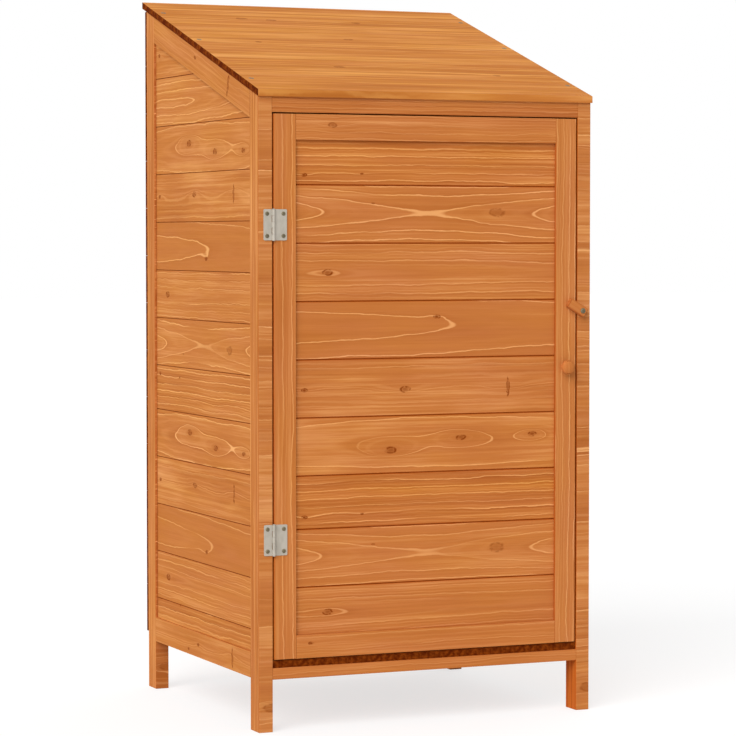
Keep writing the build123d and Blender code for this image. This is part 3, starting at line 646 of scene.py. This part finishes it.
def boardWall(name, board, extent, toFrame, body, replaced, special=None, flip=1):
    # one run of boards, set into the frame by a matrix, with the figures of its boards in order
    length, thickness, total = extent
    pitch = board.get("pitch", total / board["count"])
    mesh = bevelled(runTree(boardRun, {
        "Count": board["count"], "Length": length, "Thickness": thickness, "Total": total,
        "First": board.get("first", pitch), "Pitch": pitch, "Narrow": board.get("narrow", pitch),
        "Narrow Place": board.get("narrowPlace", 0), "Gap": board["gap"], "Material": fir, **(special or {}),
    }), board["bevel"])
    turn = toFrame.to_3x3()
    along, across = turn @ Vector((flip, 0, 0)), turn @ Vector((0, flip, 0))
    cuts = {}
    numbers = []
    for face in mesh.polygons:
        corner = face.vertices[0]
        number = round(mesh.attributes["boardId"].data[corner].value)
        numbers.append(number)
        if number not in cuts:
            middle = toFrame @ Vector(mesh.attributes["boardMiddle"].data[corner].vector)
            figure = board["order"][number % len(board["order"])]
            cuts[number] = cut(figure, board["seed"] + number, middle, along, across, length, board["groove"],
                               0.0, board.get("tint"))
    for spare in ("boardId", "boardMiddle", "boardLow", "boardHigh", "boardRow"):
        mesh.attributes.remove(mesh.attributes[spare])
    mesh.transform(toFrame)
    woodFaces(mesh, [cuts[number] for number in numbers])
    return finishPiece(name, mesh, body, replaced, 0)


def axes(origin, xAxis, yAxis):
    # matrix whose columns are the given axes
    zAxis = Vector(xAxis).cross(Vector(yAxis))
    matrix = Matrix((xAxis, yAxis, zAxis)).transposed().to_4x4()
    matrix.translation = Vector(origin)
    return matrix


# roof plane, from the front and back boards
roofLow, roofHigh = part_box("roof_board_1")[0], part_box("roof_board_6")[1]
roofDepth = roofHigh.y - roofLow.y
roofFrontTop = max(v.co.z for v in nodes["roof_board_1"].data.vertices if v.co.y < roofLow.y + 0.00001)
roofSlope = math.atan2(roofHigh.z - roofFrontTop, roofDepth)
roofRise = math.tan(roofSlope)
stretch = 1 / math.cos(roofSlope)  # a level length, measured along the slope
upSlope = Vector((0, math.cos(roofSlope), math.sin(roofSlope)))
offRoof = Vector((0, -math.sin(roofSlope), math.cos(roofSlope)))
allX, allY, allZ = Vector((1, 0, 0)), Vector((0, 1, 0)), Vector((0, 0, 1))

# door boards
doorBoard = {"count": 9, "first": 0.079, "pitch": 0.0868, "narrow": 0.0797, "narrowPlace": 2,
             "gap": 0.0005, "bevel": 0.0011, "groove": 0.85, "seed": 3.0,
             "order": ("eye", "spindle", "straight", "lens", "plain", "finger", "eye", "spindle", "straight")}
low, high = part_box("door_board_1")[0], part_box("door_board_9")[1]
boardWall("doorBoards", doorBoard, high - low, axes((0, high.y, low.z), allX, allZ), "door",
          [f"door_board_{i + 1}" for i in range(doorBoard["count"])])

# side boards, cut under the sloping rail
# the side boards' warmer tint is painted light: it stands in for the warm light falling on the lit side wall,
# and both walls take it
sideBoard = {"count": 13, "first": 0.041, "pitch": 0.077, "narrow": 0.0715, "narrowPlace": 5,
             "gap": 0.0008, "bevel": 0.0014, "groove": 0.85, "tint": (1.06, 1.02),
             "order": ("straight", "eye", "sideFinger", "plain", "sideLens", "straight", "sideSpindle", "eye",
                       "sideFinger", "plain", "sideLens", "swirl", "plain")}
for hand, seed in (("left", 20.0), ("right", 40.0)):
    low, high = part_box(hand + "_wall_boards")
    thickness, run, total = high - low
    toSide = axes((low.x, (low.y + high.y) / 2, low.z), allY, allZ)
    slopingCut = {"Cut Height": total - run / 2 * roofRise, "Cut Slope": roofRise}
    boardWall(hand + "WallBoards", dict(sideBoard, seed=seed), (run, thickness, total), toSide, "cabinet",
              [hand + "_wall_boards"], slopingCut, -1)

# back boards, laid on the backs of the posts
backBoard = {"count": 13, "pitch": 0.077, "gap": 0.0004, "bevel": 0.0002, "groove": 0.85, "seed": 60.0,
             "order": ("plain", "straight", "eye", "lens", "finger", "straight", "spindle")}
low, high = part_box("back_wall_boards")
backTop = high.z - roofRise * (high.y - low.y)
boardWall("backWallBoards", backBoard, (high.x - low.x, high.y - low.y, backTop - low.z),
          axes((0, low.y, low.z), -allX, allZ), "cabinet", ["back_wall_boards"])

# floor boards and the slats of both shelves
floorBoard = {"count": 4, "gap": 0.0004, "bevel": 0.0002, "groove": 0.85, "seed": 80.0,
              "order": ("straight", "eye", "plain", "spindle")}
low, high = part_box("floor_boards")
width, run, thickness = high - low
boardWall("floorBoards", floorBoard, (run, thickness, width),
          axes((high.x, (low.y + high.y) / 2, low.z), allY, -allX), "cabinet", ["floor_boards"])
shelfSlat = {"count": 4, "gap": 0.010, "bevel": 0.0011, "groove": 0.2,
             "order": ("eye", "straight", "finger", "plain")}
for level, seed in (("lower", 90.0), ("upper", 96.0)):
    low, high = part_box(level + "_shelf")
    width, run, thickness = high - low
    toShelf = axes((0, low.y - shelfSlat["gap"] / 2, low.z), allX, allY)
    extent = (width, thickness, run + shelfSlat["gap"])
    boardWall(level + "Shelf", dict(shelfSlat, seed=seed), extent, toShelf, "cabinet", [level + "_shelf"],
              {"Tongue": 0.0})

# roof boards, cut upright at the front and back
roofBoard = {"count": 6, "thickness": 0.010, "front": 0.075, "back": 0.079, "gap": 0.0002, "bevel": 0.0004,
             "groove": 0.0, "seed": 110.0,
             "order": ("roofFront", "roofSpot", "roof", "roofFleck", "roofMarked", "roof")}
roofPitch = (roofDepth - roofBoard["front"] - roofBoard["back"]) / (roofBoard["count"] - 2)
roofRun = dict(roofBoard, first=roofBoard["front"] * stretch, pitch=roofPitch * stretch)
underFront = Vector((0, roofLow.y, roofFrontTop)) - offRoof * roofBoard["thickness"]
boardWall("roofBoards", roofRun, (roofHigh.x - roofLow.x, roofBoard["thickness"], roofDepth * stretch),
          axes(underFront, allX, upSlope), "cabinet",
          [f"roof_board_{i + 1}" for i in range(roofBoard["count"])], {"Plumb": roofRise})
print("boards made")

# solid timbers: node, body, along the grain, across the grain, figure, stain on the long edges
hands = ("left", "right")
timbers = [(f"{hand}_{end}_post", "cabinet", allZ, allY, "post", 0.85) for hand in hands
           for end in ("front", "back")]
timbers += [(hand + "_bottom_rail", "cabinet", allY, -allZ, "sideRail", 0.3) for hand in hands]
timbers += [(hand + "_top_rail", "cabinet", upSlope, offRoof, "sideTop", 0.15) for hand in hands]
timbers += [(node, "cabinet", allX, allZ, "rail", 0.3) for node in
            ("front_bottom_rail", "back_top_rail", "back_bottom_rail", "floor_bearer", "door_stop")]
timbers += [("front_top_rail", "cabinet", allX, allZ, "frontRail", 0.2)]
timbers += [(f"{hand}_{level}_ledger", "cabinet", allY, allZ, "rail", 0.2) for hand in hands
            for level in ("lower", "upper")]
timbers += [("door_hinge_stile", "door", allZ, allX, "hingeStile", 0.05),
            ("door_latch_stile", "door", allZ, allX, "latchStile", 0.7),
            ("door_top_rail", "door", allX, allZ, "topRail", 0.4),
            ("door_bottom_rail", "door", allX, allZ, "bottomRail", 0.6)]
# painted shade: the back posts' fronts, set back behind the side boards, are painted darker where shade falls
# on them
timber = {"edge": 0.0006, "seed": 150.0, "backShade": 0.5}  # the back posts' fronts are darker
# the faces that show in the gap round the door get painted light and shade: a redder tint, with the door's
# edge and the rail's underside painted paler and the posts' faces a little darker, in place of the warm light
# that bounces inside the gap
gapPaintedShading = {"tone": -0.45, "postTone": 0.10, "tint": (0.70, 0.36), "faces": {
    "door_hinge_stile": -allX, "left_front_post": allX, "right_front_post": -allX, "front_top_rail": -allZ}}
facing = 0.9  # how squarely a face looks along an axis to count

for number, (node, body, along, across, figure, groove) in enumerate(timbers):
    mesh = bevelled(cadCopy(node), timber["edge"])
    low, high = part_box(node)
    middle = (low + high) / 2
    length = (high - low).dot(along)
    seed = timber["seed"] + number
    isPost = figure == "post"
    whole = cut(figure, seed, middle, along, across, length, groove)
    # the posts' fronts have level grain
    # the back posts' fronts take the painted shade
    darker = timber["backShade"] if "back" in node else 0.0
    front = cut("postFront", seed, (middle.x, low.y, low.z), allX, allZ, high.x - low.x, 0.0, darker)
    # painted light and shade for the faces in the gap round the door
    gapPaintedTone = gapPaintedShading["postTone"] if isPost else gapPaintedShading["tone"]
    gapPaintedSide = cut(figure, seed, middle, along, across, length, 0.0, gapPaintedTone, gapPaintedShading["tint"])
    toGap = gapPaintedShading["faces"].get(node, Vector())
    cuts = []
    for face in mesh.polygons:
        if isPost and face.normal.y < -facing:
            cuts.append(front)
        else:
            cuts.append(gapPaintedSide if face.normal.dot(toGap) > facing else whole)
    woodFaces(mesh, cuts)
    oneMaterial(mesh, fir)
    finishPiece(pieceName(node), mesh, body, [node], 0)
print("timbers made")


def plainWood(mesh, seed, place, along, across, paintedEndShade, groove=0.1):
    # one small piece without knots, whose ends are stained like its sides and then take a painted shade
    side = cut("small", seed, place, along, across, 0.0, groove)
    end = cut("small", seed, place, along.cross(across), across, 0.0, groove, paintedEndShade)
    woodFaces(mesh, [end if abs(face.normal.dot(along)) > 0.6 else side for face in mesh.polygons])
    oneMaterial(mesh, fir)


# turn button, as it lies in the photograph
# painted shade: the button's ends are painted darker, in place of the shade on its short faces
button = {"tilt": 31, "edge": 0.0005, "shortest": 0.002, "seed": 190.0, "paintedEndShade": 0.5}
tilt = math.radians(button["tilt"])
buttonAlong = Vector((math.cos(tilt), 0, -math.sin(tilt)))
mesh = bevelled(cadCopy("turn_button"), button["edge"], 2, button["shortest"])
low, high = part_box("turn_button")
plainWood(mesh, button["seed"], (low + high) / 2, buttonAlong, buttonAlong.cross(allY), button["paintedEndShade"])
finishPiece("turnButton", mesh, "turn_button", ["turn_button"], 0)

# knob: a short foot, a hollow neck, an upright rim and a low crown
knob = {"foot": 0.0070, "footHeight": 0.0015, "neckHeight": 0.0085, "flare": 2.2, "hollow": 0.0019,
        "radius": 0.0110, "chamfer": 0.0004, "rimHeights": (0.0087, 0.0097, 0.0105), "reach": 0.0150,
        "curve": 12, "steps": 56, "seed": 193.0}


def knobProfile():
    # radius and height from the door to the crown
    foot, footHeight, radius = knob["foot"], knob["footHeight"], knob["radius"]
    points = [(0.0, 0.0), (foot, 0.0), (foot, footHeight)]
    for i in range(1, knob["curve"]):
        t = i / knob["curve"]
        neck = foot + (radius - foot) * t ** knob["flare"] - math.sin(math.pi * t) * knob["hollow"]
        points.append((neck, footHeight + (knob["neckHeight"] - footHeight) * t))
    rimLow, rimMiddle, rimHigh = knob["rimHeights"]
    points += [(radius - knob["chamfer"], rimLow), (radius, rimMiddle), (radius, rimHigh)]
    for i in range(1, knob["curve"] + 1):
        angle = i / knob["curve"] * math.pi / 2
        points.append((radius * math.cos(angle), rimHigh + (knob["reach"] - rimHigh) * math.sin(angle)))
    return points


def turned(profile, place, steps):
    # a profile of (radius, height) turned about an axis that points out of the door
    shape = bmesh.new()
    angles = [2 * math.pi * k / steps for k in range(steps)]
    rings = []
    for radius, height in profile:
        centre = Vector(place) - allY * height
        if radius < 1e-6:
            rings.append([shape.verts.new(centre)])
            continue
        rings.append([shape.verts.new(centre + (allX * math.cos(a) + allZ * math.sin(a)) * radius)
                      for a in angles])
    for lower, upper in zip(rings, rings[1:]):
        for k in range(steps):
            corners = [lower[k % len(lower)], lower[(k + 1) % len(lower)],
                       upper[(k + 1) % len(upper)], upper[k % len(upper)]]
            shape.faces.new(list(dict.fromkeys(corners)))
    bmesh.ops.recalc_face_normals(shape, faces=shape.faces)
    mesh = bpy.data.meshes.new("turned")
    shape.to_mesh(mesh)
    shape.free()
    return mesh


low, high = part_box("door_knob")
knobSeat = Vector(((low.x + high.x) / 2, high.y, (low.z + high.z) / 2))
mesh = turned(knobProfile(), knobSeat, knob["steps"])
plainWood(mesh, knob["seed"], knobSeat, allZ, allX, 0.0)
finishPiece("doorKnob", mesh, "door", ["door_knob"], 50)
print("button and knob made")

# hinges: leaves and pins follow the solids, with eased edges
hinge = {"edge": 0.00025, "shortest": 0.003, "pinShortest": 0.0001}
for level in ("upper", "lower"):
    for owner, body in (("frame", "cabinet"), ("door", "door")):
        node = f"{level}_hinge_{owner}_leaf"
        mesh = bevelled(cadCopy(node), hinge["edge"], 2, hinge["shortest"])
        oneMaterial(mesh, zinc)
        finishPiece(pieceName(node), mesh, body, [node])
    node = level + "_hinge_pin"
    mesh = bevelled(cadCopy(node), hinge["edge"], 1, hinge["pinShortest"])
    oneMaterial(mesh, zinc)
    finishPiece(pieceName(node), mesh, "cabinet", [node])


def screws(node, points, size, turn, body):
    values = {"Radius": size["radius"], "Height": size["height"], "Recess": size["recess"],
              "Recess Depth": size["recessDepth"], "Shank": size["shank"], "Shank Length": size["length"],
              "Turn": turn, "Material": screwSteel}
    return finishPiece(pieceName(node), runTree(fasteners, values, points), body, [node], 40)


# round heads on the hinges, each near an end of its leaf
outOfFront, outOfBack = (math.radians(90), 0, 0), (math.radians(-90), 0, 0)
hingeScrew = {"radius": 0.0032, "height": 0.0013, "recess": 0.0011, "recessDepth": 0.0009, "shank": 0.0015,
              "length": 0.016, "inset": 0.0065}
for owner, body in (("frame", "cabinet"), ("door", "door")):
    node = f"hinge_{owner}_screws"
    low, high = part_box(node)
    x, y = (low.x + high.x) / 2, low.y + hingeScrew["height"]
    points = []
    for level in ("upper", "lower"):
        leafLow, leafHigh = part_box(f"{level}_hinge_{owner}_leaf")
        points += [(x, y, leafLow.z + hingeScrew["inset"]), (x, y, leafHigh.z - hingeScrew["inset"])]
    screws(node, points, hingeScrew, outOfFront, body)

# the button's round head, and the knob's screw from behind
buttonScrew = {"radius": 0.0042, "height": 0.0022, "recess": 0.0014, "recessDepth": 0.0014, "shank": 0.0020,
               "length": 0.0296}
low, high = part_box("turn_button_screw")
points = [((low.x + high.x) / 2, low.y + buttonScrew["height"], (low.z + high.z) / 2)]
screws("turn_button_screw", points, buttonScrew, outOfFront, "cabinet")
knobScrew = dict(buttonScrew, radius=0.0040, length=0.0320)
low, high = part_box("knob_screw")
points = [((low.x + high.x) / 2, high.y - knobScrew["height"], (low.z + high.z) / 2)]
screws("knob_screw", points, knobScrew, outOfBack, "door")

# nearly flat heads in the roof, in rows over the side frames
roofScrew = {"radius": 0.0040, "height": 0.0004, "recess": 0.0014, "recessDepth": 0.0006, "shank": 0.0020,
             "length": 0.0376, "rows": (0.060, 0.285, 0.451), "inset": 0.011}
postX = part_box("right_front_post")[1].x - roofScrew["inset"]
points = []
for side in (-1, 1):
    roofCorner = Vector((side * postX, roofLow.y, roofFrontTop))
    points += [tuple(roofCorner + upSlope * row * stretch) for row in roofScrew["rows"]]
screws("roof_screws", points, roofScrew, (roofSlope, 0, 0), "cabinet")
print("hinges and screws made")

# the dowels stay hidden in their holes, so they keep their solids
dowelMesh = nodes["rail_dowels"].data
dowelMesh.materials.clear()
dowelMesh.materials.append(dowelWood)

# soft studio light: a broad key from the upper left, a weaker fill from behind on the right and an even sky
lights = {
    "key": {"towards": (-0.615, -0.540, 0.575), "strength": 2.50, "spread": 45, "glints": True},
    "fill": {"towards": (0.640, 0.690, 0.340), "strength": 0.90, "spread": 60, "glints": False},
}
for name, light in lights.items():
    lamp = bpy.data.lights.new(name, "SUN")
    lamp.energy = light["strength"]
    lamp.angle = math.radians(light["spread"])
    holder = bpy.data.objects.new(name, lamp)
    holder.visible_glossy = light["glints"]
    holder.rotation_mode = "QUATERNION"
    holder.rotation_quaternion = Vector(light["towards"]).to_track_quat("Z", "Y")
    bpy.context.scene.collection.objects.link(holder)
# the sky's light, and the floor: half its width, its shade and glow as seen, its grey as it lights the shed
stage = {"skyLight": 0.445, "half": 30.0, "shade": 0.34, "glow": 0.70, "bounce": 0.80}


def grey(value):
    return (value, value, value, 1)


def seenDirectly(g):
    # 1 for what the camera, a mirror or glass sees
    rays = [g.add("ShaderNodeLightPath", None, None, ray) for ray in
            ("Is Camera Ray", "Is Glossy Ray", "Is Transmission Ray")]
    return rays[0].most(rays[1]).most(rays[2])


world = bpy.data.worlds.new("studio")
world.use_nodes = True
world.node_tree.nodes.clear()
g = Graph(world.node_tree)
seen = seenDirectly(g)
sky = g.add("ShaderNodeBackground", None,
            {"Color": grey(1), "Strength": seen + (1 - seen) * stage["skyLight"]})
g.add("ShaderNodeOutputWorld", None, {"Surface": sky})
bpy.context.scene.world = world

floorMaterial, g = newMaterial("paleFloor")
seen = seenDirectly(g)
lit = g.add("ShaderNodeBsdfDiffuse", None, {"Color": grey(stage["shade"])})
glow = g.add("ShaderNodeEmission", None, {"Color": grey(1), "Strength": stage["glow"]})
bright = g.add("ShaderNodeAddShader", None, {0: lit, 1: glow})
plain = g.add("ShaderNodeBsdfDiffuse", None, {"Color": grey(stage["bounce"])})
closeMaterial(g, g.add("ShaderNodeMixShader", None, {0: seen, 1: plain, 2: bright}))
floorMesh = bpy.data.meshes.new("floor")
corners = [(x * stage["half"], y * stage["half"], 0) for x, y in ((-1, -1), (1, -1), (1, 1), (-1, 1))]
floorMesh.from_pydata(corners, [], [(0, 1, 2, 3)])
floorMesh.materials.append(floorMaterial)
floor = bpy.data.objects.new("floor", floorMesh)
bpy.context.scene.collection.objects.link(floor)
print("stage made")

# camera at the photograph's viewing angle
cameraFit = {"place": (-1.8292, -4.2320, 0.7338), "yaw": 23.48, "pitch": 2.551, "lens": 141.47}
lens = bpy.data.cameras.new("camera")
lens.lens = cameraFit["lens"]
lens.sensor_width = 36.0
camera = bpy.data.objects.new("camera", lens)
camera.location = cameraFit["place"]
camera.rotation_euler = (math.radians(90 - cameraFit["pitch"]), 0, math.radians(-cameraFit["yaw"]))
bpy.context.scene.collection.objects.link(camera)
bpy.context.scene.camera = camera
bpy.context.scene.view_settings.view_transform = "Standard"
